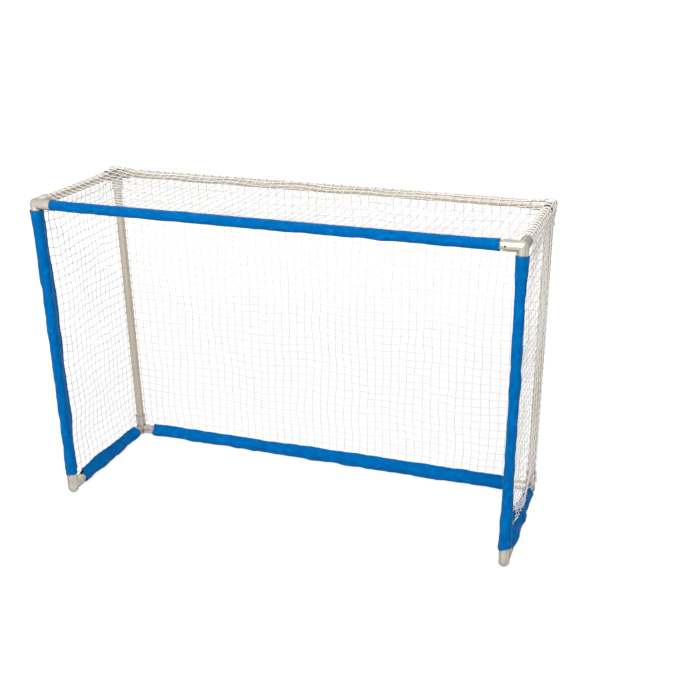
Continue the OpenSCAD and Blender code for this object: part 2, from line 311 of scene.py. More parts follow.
def cord_material():
    """A twisted white cord: its yarns are a fine slanting relief, and light goes into its fibres."""
    mat, tree, shader = new_material("net_cord")
    place = coordinates(tree)
    cloud = noise(tree, place, 55, 3)
    base = tinted(tree, srgb(250, 248, 245), cloud, 0.3, 0.7, 1, srgb(254, 253, 251))
    tree.links.new(base, shader.inputs["Base Color"])
    shader.inputs["Roughness"].default_value = 0.72
    shader.inputs["Sheen Weight"].default_value = 0.15
    shader.inputs["Subsurface Weight"].default_value = 0.3
    shader.inputs["Subsurface Radius"].default_value = (1.0, 1.0, 1.0)
    shader.inputs["Subsurface Scale"].default_value = CORD_DEPTH
    bump(tree, shader, wave_bands(tree, place, "DIAGONAL", 420, 1.2), 0.0002, 0.5)
    return mat


def rubber_material():
    """Black rubber with dust on it."""
    mat, tree, shader = new_material("pad_rubber")
    place = coordinates(tree)
    dust = noise(tree, place, 180, 4, 0.6)
    base = tinted(tree, srgb(34, 33, 32), dust, 0.45, 0.75, 1, srgb(66, 63, 60))
    set_surface(tree, shader, base, dust, 0.62, 0.8)
    bump(tree, shader, noise(tree, place, 1400, 2), 0.0001, 0.4)
    return mat


def screw_material():
    """Blackened steel, rubbed brighter in places."""
    mat, tree, shader = new_material("screw_steel")
    worn = noise(tree, coordinates(tree), 700, 4, 0.65)
    base = tinted(tree, srgb(58, 54, 51), worn, 0.5, 0.75, 1, srgb(122, 116, 110))
    set_surface(tree, shader, base, worn, 0.3, 0.5)
    shader.inputs["Metallic"].default_value = 0.85
    bump(tree, shader, worn, 0.00005, 0.4)
    return mat


# ---- Meshes ----

def mesh_object(name, verts, faces, mat, node, uv_sets):
    """A smooth mesh that rides on the goal and stands for a CAD node. Each array in faces holds faces
    with one number of corners."""
    mesh = bpy.data.meshes.new(name)
    verts = np.asarray(verts, np.float32).reshape(-1, 3)
    sizes = np.concatenate([np.full(len(part), part.shape[1], np.int32) for part in faces])
    loops = np.concatenate([part.ravel() for part in faces]).astype(np.int32)
    mesh.vertices.add(len(verts))
    mesh.vertices.foreach_set("co", verts.ravel())
    mesh.loops.add(len(loops))
    mesh.loops.foreach_set("vertex_index", loops)
    mesh.polygons.add(len(sizes))
    mesh.polygons.foreach_set("loop_start", (np.cumsum(sizes) - sizes).astype(np.int32))
    mesh.polygons.foreach_set("loop_total", sizes)
    for uv_name, uv in uv_sets.items():
        layer = mesh.uv_layers.new(name=uv_name)
        layer.data.foreach_set("uv", np.asarray(uv, np.float32).ravel())
    mesh.update(calc_edges=True)
    mesh.validate()
    mesh.polygons.foreach_set("use_smooth", np.ones(len(mesh.polygons), bool))
    mesh.materials.append(mat)
    obj = new_object(name, mesh)
    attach(obj, "root")
    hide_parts(node)
    return obj


def tube_rings(path, radius, up):
    """Rings round each point of many paths: path is (lines, points, 3) and radius (lines, points)."""
    along = np.gradient(path, axis=1)
    along /= np.linalg.norm(along, axis=2)[..., None]
    across = np.cross(along, up)
    across /= np.linalg.norm(across, axis=2)[..., None]
    third = np.cross(across, along)
    angle = (np.arange(STRAND_SIDES) * 2 * math.pi / STRAND_SIDES)[:, None]
    ring = np.cos(angle) * third[..., None, :] + np.sin(angle) * across[..., None, :]
    return path[..., None, :] + radius[..., None, None] * ring


def strand_object(name, paths, mat, node):
    """Closed tubes along groups of paths: each group is (path, radius, up)."""
    verts, quads, caps, strips, cells = [], [], [], [], []
    vertices = strip_count = 0
    for path, radius, up in paths:
        rings = tube_rings(path, radius, up)
        index = vertices + np.arange(rings[..., 0].size).reshape(rings.shape[:3])
        ahead = np.roll(index, -1, axis=2)
        corners = np.stack([index[:, :-1], ahead[:, :-1], ahead[:, 1:], index[:, 1:]], -1)
        line, cell, side = np.indices(corners.shape[:3]).reshape(3, -1)
        verts.append(rings.reshape(-1, 3))
        quads.append(corners.reshape(-1, 4))
        caps += [index[:, 0, ::-1], index[:, -1]]
        strips.append(strip_count + line * STRAND_SIDES + side)
        cells.append(cell)
        vertices += index.size
        strip_count += len(path) * STRAND_SIDES
    verts, quads, caps, strips, cells = (
        np.concatenate(parts) for parts in (verts, quads, caps, strips, cells))
    uv_sets = {"OFBake": strip_uv(strips, cells, len(caps))}
    mesh_object(name, verts, [quads, caps], mat, node, uv_sets)


def strip_uv(strip, cell, cap_count):
    """A place of its own in the UV square for each quad, by its strip and its cell there, with the
    caps in a corner."""
    width, height = 0.99, 0.9               # of the strips in the square, and of a strip in its row
    cap_middle, cap_size = 0.9965, 0.002
    rows, cells = strip.max() + 1, cell.max() + 1
    low_u, high_u = cell / cells * width, (cell + 1) / cells * width
    low_v, high_v = strip / rows, (strip + height) / rows
    quad_uv = np.stack([
        np.stack([low_u, low_v], -1), np.stack([low_u, high_v], -1),
        np.stack([high_u, high_v], -1), np.stack([high_u, low_v], -1)], 1)
    turn = np.linspace(0, 2 * math.pi, STRAND_SIDES, endpoint=False)
    cap_uv = cap_middle + cap_size * np.stack([np.cos(turn), np.sin(turn)], -1)
    return np.concatenate([quad_uv.reshape(-1, 2), np.tile(cap_uv, (cap_count, 1))])


# ---- Sleeves ----

class Sleeve:
    """A cloth tube round a bar, with a tail that points from the bar to the side called inner. outer
    is the way that the net on it faces, and slack is how much its cloth creases.

    arms is how far each end goes over a fitting's arm, slid moves the two ends along the bar, and
    droop lets the first end hang lower at the side away from the tail. shape holds rows along the
    sleeve: how far along (0 to 1), the radius round the bar, the reach of the tail from the bar's
    axis, how far the cloth sags and how far it hangs towards the front, and how far the tail leans
    outwards; the last numbers are left out where they are 0. A bulge has its place along the sleeve,
    its width, its height and its angle round the cloth."""

    def __init__(self, node, along, inner, outer, seed, slack, arms, slid, droop, rests_on, shape,
                 bulges):
        low, high = (np.array(corner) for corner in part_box(node))
        self.node, self.along, self.seam, self.out = node, along, inner, outer
        self.seed, self.slack, self.droop = seed, slack, droop
        self.rests_on, self.bulges = rests_on, bulges
        self.shape = np.array([(*row, 0, 0, 0)[:6] for row in shape])
        self.arms = (arms[0] - slid[0] * (arms[0] > 0), arms[1] + slid[1] * (arms[1] > 0))
        self.length = float((high - low) @ along) - slid[0] + slid[1]
        self.start = self.bar_axis((low + high) / 2) + along * (float(low @ along) + slid[0])

    def bar_axis(self, centre):
        """The point of the bar's axis where the distance along it is zero."""
        bar = np.zeros(3)
        places = ((HALF_W, -HALF_W), (Y_FRONT, Y_REAR), (Z_LOW, Z_HIGH))
        for axis in range(3):
            if not self.along[axis]:
                bar[axis] = min(places[axis], key=lambda place: abs(place - centre[axis]))
        return bar

    def profile(self, s):
        """Radius, reach, sag, forward hang and lean at each distance s along the sleeve."""
        share = np.clip(s / self.length, 0, 1)
        fine = np.linspace(0, 1, 401)
        window = np.hanning(41)
        columns = []
        for column in self.shape.T[1:]:
            value = np.interp(fine, self.shape[:, 0], column)
            padded = np.pad(value, len(window) // 2, mode="edge")
            smooth = np.convolve(padded, window / window.sum(), "valid")
            columns.append(np.interp(share, fine, smooth))
        return columns

    def tail_wander(self, s):
        """How far the tail leans outwards, and reaches further, along the sleeve."""
        lean = Waves(self.seed + 1, 0.10, 0.4)(s[:, None])
        reach = Waves(self.seed + 2, 0.06, 0.3)(s[:, None])
        pull = np.cos(2 * math.pi * s / MESH_PITCH)
        return TAIL_LEAN * lean, TAIL_REACH * reach + TAIL_PULL * pull

    def outline(self, s):
        """The resting cross-section at each s: places along the tail (a) and outwards (b), and how
        free each is to move."""
        radius, reach, sag, forward, leans = (column[:, None] for column in self.profile(s))
        lean, stretch = (column[:, None] for column in self.tail_wander(s))
        lean, reach = lean + leans, reach + stretch
        shift_a = sag * -(Z @ self.seam) + forward * -(Y @ self.seam)
        shift_b = sag * -(Z @ self.out) + forward * -(Y @ self.out)
        flat_from = reach - TAIL_FLAT
        clear = np.maximum(flat_from - shift_a, radius)
        turn = np.arccos(np.clip((radius - TAIL_HALF) / clear, 0, 0.999))
        touch_a, touch_b = shift_a + radius * np.cos(turn), radius * np.sin(turn)

        def flank(side, share):
            """One side of the cloth, from the tail (share 0) to the round part (share 1)."""
            bow = np.sin(math.pi * share) * TAIL_BOW
            across = (side * touch_b + shift_b - side * TAIL_HALF) * share
            return (flat_from + (touch_a - flat_from) * share,
                    side * TAIL_HALF + across - side * bow,
                    TAIL_FREE + (1 - TAIL_FREE) * share[0])

        share = np.linspace(0, 1, POINTS_FLANK, endpoint=False)[None, :]
        angle = turn + (2 * math.pi - 2 * turn) * np.linspace(0, 1, POINTS_ROUND)[None, :]
        around = (shift_a + radius * np.cos(angle), shift_b + radius * np.sin(angle),
                  np.ones(POINTS_ROUND))
        half_turn = np.radians(np.linspace(-90, 90, POINTS_TIP))[None, :]
        tip = (reach - TAIL_HALF + TAIL_HALF * np.cos(half_turn),
               np.broadcast_to(TAIL_HALF * np.sin(half_turn), (len(s), POINTS_TIP)),
               np.zeros(POINTS_TIP))
        parts = (flank(1, share), around, flank(-1, share[:, ::-1]), tip)
        a, b, free = (np.concatenate(column, -1) for column in zip(*parts))
        return a, b + lean * np.clip(a / reach, 0, 1) ** 1.5, free

    def sewn_edge(self, at):
        """How far the net's sewn edge is from the bar's axis, along the tail and outwards, at places
        along the bar."""
        s = np.asarray(at, float) - self.start @ self.along
        lean, stretch = self.tail_wander(s.ravel())
        reach, leans = self.profile(s)[1], self.profile(s)[4]
        outwards = leans + lean.reshape(s.shape) + TAIL_HALF + EDGE_R
        return reach + stretch.reshape(s.shape) - SEWN_IN, outwards

    def ring_places(self):
        """Where the rings of vertices are along the sleeve: closer together at its hems."""
        hem = np.array([0, 0.002, 0.005, 0.008, HEM - 0.0015, HEM, HEM + 0.003])
        between = np.linspace(hem[-1], self.length - hem[-1], int(self.length / RING_STEP))
        return np.concatenate([hem[:-1], between, (self.length - hem[:-1])[::-1]])

    def creased(self, a, b, free, grid_s, turned, from_seam, cylinder):
        """The cross-sections with the cloth's folds, puckered seam, thicker hems and bulges."""
        edge_a = np.roll(a, -1, 1) - np.roll(a, 1, 1)
        edge_b = np.roll(b, -1, 1) - np.roll(b, 1, 1)
        size = np.maximum(np.hypot(edge_a, edge_b), TINY)
        broad = 0.55 * Waves(self.seed + 3, 0.05, 0.20, 18)(cylinder)
        folds = 0.26 * Waves(self.seed + 4, 0.016, 0.045, 22, (0.55, 1, 1))(cylinder)
        crests = np.abs(Waves(self.seed + 5, 0.03, 0.09, 10, (0.5, 1, 1))(cylinder))
        ridges = 0.42 * (1 - 2 * crests ** 0.8)
        wander = 2.2 * Waves(self.seed + 6, 0.03, 0.1)(grid_s[..., None])
        pucker = PUCKER * np.cos(2 * math.pi * grid_s / PUCKER_LENGTH + wander)
        move = self.slack * (broad + folds + ridges) * free
        move = move + pucker * (np.exp(-from_seam / 0.012) * free)
        from_end = np.minimum(grid_s, self.length - grid_s)
        move = move + HEM_RAISED * (1 - ease(from_end, HEM - 0.0012, HEM)) * free
        for at, width, height, side in self.bulges:
            away = np.angle(np.exp(1j * (turned - side)))
            move = move + height * free * np.exp(-((grid_s - at) / width) ** 2 - (away / 1.1) ** 2)
        return a + move * (edge_b / size), b + move * (-edge_a / size)

    def uneven_ends(self, grid_s, a, cylinder):
        """The places along the sleeve, with its two ends cut unevenly and the first one drooping."""
        reach_in = 0.03
        for end, sign, ring, seed in ((0, -1, 0, 7), (self.length, 1, -1, 8)):
            uneven = 0.0012 + 0.28 * self.droop * (sign < 0)
            ragged = Waves(self.seed + seed, 0.02, 0.06)(cylinder[ring]) * uneven - 0.001
            near = ease(reach_in - np.abs(grid_s - end), 0, reach_in)
            grid_s = grid_s + sign * ragged[None, :] * near
        return grid_s - self.droop * (1 - ease(a, -0.012, 0.016)) * (1 - ease(grid_s, 0, 0.05))

    def hard_radius(self, s):
        """The radius of the bar, or of a fitting's arm, inside the sleeve."""
        first, last = self.arms
        after = self.length - last
        on_first = (1 - ease(s, first, first + ARM_MOUTH)) * (first > 0)
        on_last = ease(s, after - ARM_MOUTH, after) * (last > 0)
        return TUBE_R + (FITTING_R - TUBE_R) * np.maximum(on_first, on_last)

    def build(self, mat):
        s = self.ring_places()
        a, b, free = self.outline(s)
        mid_a, mid_b = a[len(s) // 2], b[len(s) // 2]
        step = np.hypot(np.roll(mid_a, -1) - mid_a, np.roll(mid_b, -1) - mid_b)
        round_at = np.concatenate([[0], np.cumsum(step)[:-1]])
        girth = float(step.sum())
        grid_s, grid_q = np.meshgrid(s, round_at, indexing="ij")
        turned = grid_q / girth * 2 * math.pi
        radii = 6.28    # in the girth
        cylinder = np.stack([
            grid_s, np.cos(turned) * girth / radii, np.sin(turned) * girth / radii], -1)
        from_seam = np.minimum(grid_q, girth - grid_q)
        a, b = self.creased(a, b, free, grid_s, turned, from_seam, cylinder)

        # The cloth can't pass into the bar or the fitting's arm that it goes round, or into the floor.
        hard = self.hard_radius(s)[:, None] + CLOTH_T + CLEAR
        push = np.maximum(hard / np.maximum(np.hypot(a, b), TINY), 1)
        a, b = a * push, b * push
        grid_s = self.uneven_ends(grid_s, a, cylinder)
        bar = self.start + grid_s[..., None] * self.along
        outer = bar + a[..., None] * self.seam + b[..., None] * self.out
        outer[..., 2] = np.maximum(outer[..., 2], ABOVE_FLOOR)

        face = np.cross(np.gradient(outer, axis=0), np.roll(outer, -1, 1) - np.roll(outer, 1, 1))
        face /= np.maximum(np.linalg.norm(face, axis=2), TINY)[..., None]
        inwards = ((outer - bar) * face)[:, len(free) // 2].sum() < 0
        if inwards:
            face = -face
        thick = np.where(free < 0.5, TAIL_HALF * 0.45, CLOTH_T)
        inner = outer - face * thick[None, :, None]
        quads, on_inside = self.faces(*grid_s.shape, inwards)
        uv_sets = self.uv_sets(s, round_at, girth, quads, on_inside)
        piece = mesh_object(self.node + "_cloth", np.concatenate([outer, inner]), [quads],
                            mat, self.node, uv_sets)

    def faces(self, rings, count, inwards):
        """The quads of the cloth's outside, its inside and its two ends, and which are on the inside."""
        index = np.arange(rings * count).reshape(rings, count)
        ahead = np.roll(index, -1, axis=1)
        shift = rings * count
        outside = np.stack([index[:-1], index[1:], ahead[1:], ahead[:-1]], -1).reshape(-1, 4)
        inside = outside[:, ::-1] + shift
        first = np.stack([index[0], ahead[0], ahead[0] + shift, index[0] + shift], -1)
        last = np.stack([index[-1], index[-1] + shift, ahead[-1] + shift, ahead[-1]], -1)
        quads = np.concatenate([outside, inside, first, last])
        return quads[:, ::-1] if inwards else quads, quads.min(1) >= shift

    def uv_sets(self, s, round_at, girth, quads, on_inside):
        """The cloth's own measures, and a place of its own in the UV square for each quad: the
        outside has the lower half and the inside the upper half."""
        vertices = np.stack([np.repeat(s, len(round_at)), np.tile(round_at, len(s))], -1)
        cloth = np.tile(vertices, (2, 1))[quads]
        round_seam = (np.ptp(cloth[..., 1], axis=1) > girth / 2)[:, None] & (cloth[..., 1] < girth / 2)
        cloth[..., 1] += girth * round_seam
        bake = cloth / [self.length, girth * 1.05] * [0.98, 0.46] + 0.005
        bake[on_inside, :, 1] += 0.5
        cloth[..., 1] -= girth
        return {"cloth": cloth, "OFBake": bake}


SLEEVES = {}


def make_sleeves(mat):
    """Makes the six sleeves; each row holds what a Sleeve takes."""
    post_low, post_high = (corner.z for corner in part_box("front_post_sleeve_right"))
    post_arms = (Z_LOW + ARM_LEN - post_low, post_high - (Z_HIGH - ARM_LEN))
    side_low, side_high = (corner.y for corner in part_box("bottom_side_sleeve_right"))
    side_arms = (max(Y_FRONT + ARM_LEN - side_low, 0.0), max(side_high - (Y_REAR - ARM_LEN), 0.0))
    crossbars, rear_bars = (
        [bar + "_left", bar + "_right"] for bar in ("crossbar_tube", "rear_bottom_tube"))
    rows = [
        ("crossbar_sleeve", X, Y, Z, 100, 0.0010, (0, 0), (0, -0.005), 0, crossbars,
         [(0, 0.0200, 0.043, 0.0005), (0.04, 0.0190, 0.042, 0.0018), (0.5, 0.0188, 0.042, 0.0020),
          (0.95, 0.0192, 0.042, 0.0018), (1, 0.0205, 0.043, 0.0004)], []),
        ("rear_bottom_sleeve", X, Z, Y, 200, 0.0021, (0, 0), (0, 0), 0, rear_bars,
         [(0, 0.0215, 0.032, 0.004, 0.001), (0.3, 0.0215, 0.030, 0.004, 0.001),
          (0.55, 0.0235, 0.033, 0.005, 0.002), (0.75, 0.0250, 0.032, 0.004, 0.004),
          (1, 0.0255, 0.031, 0.003, 0.005)],
         [(1.11, 0.020, -0.0035, 2.2), (1.07, 0.025, 0.004, 2.0), (0.93, 0.06, 0.003, 3.6)]),
        ("front_post_sleeve_left", Z, Y, -X, 300, 0.0012, post_arms, (0, 0), 0.003,
         ["front_post_left"],
         [(0, 0.0232, 0.043), (0.10, 0.0205, 0.043), (0.35, 0.0192, 0.047),
          (0.7, 0.0195, 0.052), (0.9, 0.0215, 0.047), (1, 0.0240, 0.044)],
         [(0.60, 0.035, 0.003, 0.5)]),
        ("front_post_sleeve_right", Z, Y, X, 400, 0.0013, post_arms, (0, -0.008), 0.010,
         ["front_post_right"],
         [(0, 0.0250, 0.045), (0.08, 0.0228, 0.045), (0.25, 0.0190, 0.047),
          (0.7, 0.0182, 0.047), (0.88, 0.0185, 0.046), (0.95, 0.0218, 0.046),
          (1, 0.0225, 0.045)],
         [(0.61, 0.018, 0.002, math.pi), (0.65, 0.02, 0.002, 1.6)]),
        ("bottom_side_sleeve_left", Y, Z, -X, 500, 0.0022, side_arms, (-0.008, 0), 0,
         ["bottom_side_tube_left"],
         [(0, 0.0212, 0.043), (0.06, 0.0214, 0.043, 0.001), (0.3, 0.0215, 0.045, 0.003),
          (0.7, 0.0215, 0.038, 0.003), (1, 0.0225, 0.034, 0.002)],
         [(0.16, 0.03, 0.004, 2.6)]),
        ("bottom_side_sleeve_right", Y, Z, X, 600, 0.0022, side_arms, (-0.011, 0), 0,
         ["bottom_side_tube_right"],
         [(0, 0.0218, 0.044, 0, 0, -0.026), (0.08, 0.0235, 0.044, 0.002, 0, -0.028),
          (0.3, 0.0225, 0.044, 0.003, 0, -0.030), (0.52, 0.0215, 0.044, 0.003, 0, -0.026),
          (0.74, 0.0215, 0.040, 0.003, 0, -0.004), (1, 0.0225, 0.036, 0.003)],
         [(0.25, 0.03, 0.004, 2.4)]),
    ]
    for row in rows:
        sleeve = Sleeve(*row)
        sleeve.build(mat)
        SLEEVES[sleeve.node] = sleeve


# ---- Net ----

BAR_R = TUBE_R + STRAND_R + CLEAR           # the net's distance from a bare bar's axis
ARM_R = FITTING_R + STRAND_R + CLEAR        # and from a fitting's
SIDE_X = HALF_W + BAR_R
BACK_Y = Y_REAR + BAR_R
TOP_Z = Z_HIGH + BAR_R

# The bars that the net goes round: the direction of each, and a point on its axis. Then the
# middles of the fittings that it goes round.
BARS = [(Y, (x, 0, Z_HIGH)) for x in (-HALF_W, HALF_W)]
BARS += [(X, (0, Y_REAR, Z_HIGH))]
BARS += [(Z, (x, Y_REAR, 0)) for x in (-HALF_W, HALF_W)]
CORNERS = [(x, y, z) for x in (-HALF_W, HALF_W)
           for y, z in ((Y_REAR, Z_HIGH), (Y_FRONT, Z_HIGH), (Y_REAR, Z_LOW))]


def wrap(points, bar_r):
    """Points of the sharp box, brought round the bars and fittings with the radius bar_r."""
    inner = np.stack([
        np.clip(points[..., 0], -HALF_W, HALF_W),
        np.minimum(points[..., 1], Y_REAR),
        np.minimum(points[..., 2], Z_HIGH)], -1)
    out = points - inner
    size = np.maximum(np.linalg.norm(out, axis=-1), TINY)
    radius = bar_r + (ARM_R - BAR_R) * fitting_share(points)
    return inner + out * (radius / size)[..., None]


def from_bar(points, bar):
    """The way from a bar's axis to the points, and its length."""
    along, through = bar
    off = (points - through) * (1 - along)
    return off, np.maximum(np.linalg.norm(off, axis=-1), TINY)


def clear_of_bars(points):
    """Moves points that would lie inside the bars and fittings that the net goes round outside them."""
    radius = BAR_R + (ARM_R - BAR_R) * fitting_share(points)
    for bar in BARS:
        off, size = from_bar(points, bar)
        points = points + off * (np.maximum(radius / size, 1) - 1)[..., None]
    return points


def pressed(points):
    """1 where a point of the net lies on a bar or fitting and 0 where it hangs free."""
    on = 0
    for bar in BARS:
        gap = from_bar(points, bar)[1] - BAR_R - (ARM_R - BAR_R) * fitting_share(points)
        on = np.maximum(on, 1 - ease(gap, 0.001, 0.006))
    return on


def fitting_share(points):
    """1 on the arms of the fittings that the net goes round, and 0 away from them."""
    away = np.min([np.abs(points - corner).max(-1) for corner in CORNERS], axis=0)
    return 1 - ease(away, ARM_LEN + 0.001, ARM_LEN + 0.012)


def gathered(points, x, y, z):
    """Draws the net in towards a corner, where its mesh is bunched."""
    out = points - [x, y, z]
    distance = np.linalg.norm(out, axis=-1)[..., None]
    return points - out * GATHER * np.exp(-(distance / GATHER_SIZE) ** 2)


def towards_corner(on_tail, on_bar, place, corner):
    """The net's distance from a bar's axis as it goes from a tail to the bare bar near a corner."""
    return on_tail + (on_bar - on_tail) * ease(place, corner - 0.085, corner - 0.012)


class Panel:
    """One face of the net: squares across and up, and the place of each point of its grid.

    Each kind has its axes, the sharp box's point for a share across and up, and its edges: the
    distances of points from them, and how far from the bar's axis the net is there."""

    def __init__(self, node, across, up, out, seed, ripple, sag):
        self.node, self.across, self.up = node, across, up
        self.out = np.asarray(out, float)
        self.in_plane = [Waves(seed + k, 0.16, 0.6) for k in range(2)]
        self.fine = [Waves(seed + 10 + k, 0.07, 0.15) for k in range(2)]
        self.depth = Waves(seed + 20, 0.2, 0.8)
        self.ripple, self.sag = ripple, sag

    def place(self, u, v):
        """The point at u squares across and v up, for arrays of any one shape."""
        fu, fv = np.broadcast_arrays(np.asarray(u, float) / self.across, np.asarray(v, float) / self.up)
        sharp = self.sharp(fu, fv)
        free = self.free(fu, fv)
        moved = sharp
        for axis, broad, fine in zip(self.axes, self.in_plane, self.fine):
            drift = DRIFT * broad(sharp) + FINE_DRIFT * fine(sharp)
            moved = moved + (free * drift)[..., None] * axis
        for x in (-HALF_W, HALF_W):
            moved = gathered(moved, x, Y_REAR + 0.01, Z_HIGH + 0.01)
        depth = free * self.ripple * self.depth(sharp) - self.sag * self.bowl(fu, fv)
        return clear_of_bars(wrap(moved, self.distance(moved)) + depth[..., None] * self.out)

    def free(self, fu, fv):
        """How free the net is to move, from 0 where it is sewn or lies on a bar."""
        across = ease(fu, 0, 0.12) * ease(1 - fu, 0, 0.12)
        return across * ease(fv, 0, 0.10) * ease(1 - fv, 0, 0.10) * 0.85 + 0.06

    def bowl(self, fu, fv):
        """1 in the middle of the panel and 0 at its edges."""
        return (4 * fu * (1 - fu)) ** 0.6 * (4 * fv * (1 - fv))

    def distance(self, points):
        """The net's distance from the bars' axes: it starts close to the tails and lies on the bars."""
        total, weights = 0, 0
        for away, distance in self.edges(points):
            weight = (np.abs(away) + 0.0008) ** -1.4
            total, weights = total + weight * distance, weights + weight
        return total / weights


class TopPanel(Panel):
    axes = (X, Y)

    def sharp(self, fu, fv):
        x = -SIDE_X + 2 * SIDE_X * fu
        front = front_edge(SIDE_X - np.abs(x), SLEEVES["crossbar_sleeve"].sewn_edge(x)[0])
        y = front + (BACK_Y - front) * fv
        return np.stack([x, y, np.full_like(x, TOP_Z)], -1)

    def edges(self, points):
        x, y = points[..., 0], points[..., 1]
        tail, out = SLEEVES["crossbar_sleeve"].sewn_edge(x)
        front = towards_corner(out, BAR_R, np.abs(x), HALF_W)
        return ((y - Y_FRONT - tail, front), (BACK_Y - y, BAR_R), (SIDE_X - np.abs(x), BAR_R))


class BackPanel(Panel):
    axes = (X, Z)

    def sharp(self, fu, fv):
        x = -SIDE_X + 2 * SIDE_X * fu
        low = Z_LOW + SLEEVES["rear_bottom_sleeve"].sewn_edge(x)[0]
        return np.stack([x, np.full_like(x, BACK_Y), low + (TOP_Z - low) * fv], -1)

    def edges(self, points):
        x, z = points[..., 0], points[..., 2]
        tail, out = SLEEVES["rear_bottom_sleeve"].sewn_edge(x)
        foot = towards_corner(out, ARM_R, np.abs(x), HALF_W)
        return ((z - Z_LOW - tail, foot), (TOP_Z - z, BAR_R), (SIDE_X - np.abs(x), BAR_R))


class SidePanel(Panel):
    axes = (Y, Z)

    def sharp(self, fu, fv):
        rough_z = Z_LOW + TOP_Z * fv
        front = front_edge(TOP_Z - rough_z, self.post.sewn_edge(rough_z)[0])
        y = front + (BACK_Y - front) * fu
        low = Z_LOW + self.foot.sewn_edge(y)[0]
        z = low + (TOP_Z - low) * fv
        return np.stack([np.full_like(y, SIDE_X * self.out[0]), y, z], -1)

    def edges(self, points):
        y, z = points[..., 1], points[..., 2]
        behind, post_out = self.post.sewn_edge(z)
        above, foot_out = self.foot.sewn_edge(y)
        front = towards_corner(post_out, BAR_R, z, Z_HIGH)
        foot = towards_corner(foot_out, ARM_R, y, Y_REAR)
        return ((y - Y_FRONT - behind, front), (z - Z_LOW - above, foot),
                (BACK_Y - y, BAR_R), (TOP_Z - z, BAR_R))


def front_edge(from_corner, on_tail):
    """y of the net's front edge: on the tails, and behind the fitting's arm at the top corners."""
    behind_arm = ARM_LEN + 0.004
    return Y_FRONT + on_tail + (behind_arm - on_tail) * (1 - ease(from_corner, 0.020, behind_arm))


def samples(squares, fine_start, fine_end):
    """Places along a line of the net, in squares, and the knot share of each, which is 1 on a knot.
    The first and the last square, which may go round a bar, can have finer steps."""
    beside_knot = 0.075
    coarse = (0.0, beside_knot, 0.5, 1 - beside_knot)
    fine = (0.0, beside_knot, 0.2, 0.33, 0.5, 0.67, 0.8, 1 - beside_knot)
    knot_share = {0.0: 1.0, beside_knot: 0.12, 1 - beside_knot: 0.12}
    places, share = [], []
    for k in range(squares):
        is_fine = (k == 0 and fine_start) or (k == squares - 1 and fine_end)
        for offset in fine if is_fine else coarse:
            places.append(k + offset)
            share.append(knot_share.get(offset, 0.0))
    return np.array(places + [squares]), np.array(share + [1.0])


def net_lines(panel, columns, rows, fine_up, fine_across, knot_seed):
    """The strands of a panel: its columns run up and its rows across, and they weave past each other."""
    rng = np.random.default_rng(knot_seed)
    groups = []
    for lines, squares, fine, is_column in (
            (columns, panel.up, fine_up, True), (rows, panel.across, fine_across, False)):
        places, share = samples(squares, *fine)
        along, line = np.meshgrid(places, np.asarray(lines, float), indexing="xy")
        path = panel.place(line, along) if is_column else panel.place(along, line)
        weave = 0.35 * STRAND_R * (1 if is_column else -1)
        path = path + panel.out * weave * np.cos(math.pi * (along + line))[..., None]
        thick = rng.uniform(0.92, 1.08, (len(lines), 1))
        wider = np.maximum(1 + (KNOT - 1) * share[None, :], 1 + (PRESSED - 1) * pressed(path))
        radius = STRAND_R * thick * wider
        groups.append((path, radius, panel.out + 0.31 * panel.axes[0] + 0.17 * panel.axes[1]))
    return groups


def sewn_strands(panel):
    """The doubled strand along each sewn edge: the panel's first row, and of a side its front too."""
    per_square = 3
    across = np.linspace(0, panel.across, panel.across * per_square + 1)
    paths = [panel.place(across, 0)]
    if isinstance(panel, SidePanel):
        paths.append(panel.place(0, np.linspace(0, panel.up, panel.up * per_square + 1)))
    up = panel.out + 0.3 * panel.axes[0]
    return [(path[None], np.full((1, len(path)), EDGE_R), up) for path in paths]


def make_net(mat):
    wide = round(2 * SIDE_X / MESH_PITCH)
    on_crossbar, on_rear_bar = (
        SLEEVES[name].sewn_edge(0)[0] for name in ("crossbar_sleeve", "rear_bottom_sleeve"))
    deep = round((BACK_Y - Y_FRONT - on_crossbar) / MESH_PITCH)
    high = round((TOP_Z - Z_LOW - on_rear_bar) / (MESH_PITCH * 0.97))
    top = TopPanel("net_top", wide, deep, Z, 1000, 0.004, 0.022)
    back = BackPanel("net_back", wide, high, Y, 2000, 0.008, 0.004)
    left = SidePanel("net_left", deep, high, -X, 3000, 0.005, 0.003)
    right = SidePanel("net_right", deep, high, X, 4000, 0.005, 0.003)
    for panel, side in ((left, "left"), (right, "right")):
        panel.post = SLEEVES["front_post_sleeve_" + side]
        panel.foot = SLEEVES["bottom_side_sleeve_" + side]
    at_end, at_both = (False, True), (True, True)
    sets = [
        (top, range(0, wide + 1), range(1, deep + 1), at_both, 11),
        (back, range(0, wide + 1), range(1, high), at_both, 12),
        (left, range(1, deep), range(1, high), at_end, 13),
        (right, range(1, deep), range(1, high), at_end, 14),
    ]
    for panel, columns, rows, fine_across, seed in sets:
        groups = net_lines(panel, columns, rows, at_end, fine_across, seed)
        groups += sewn_strands(panel)
        if panel is right:
            groups += loose_strands(panel.foot)
        strand_object(panel.node + "_strands", groups, mat, panel.node)


def zigzag(t, phase):
    """From 1 down to 0 and back up while t goes on by 2."""
    return np.abs((t + phase) % 2 - 1)


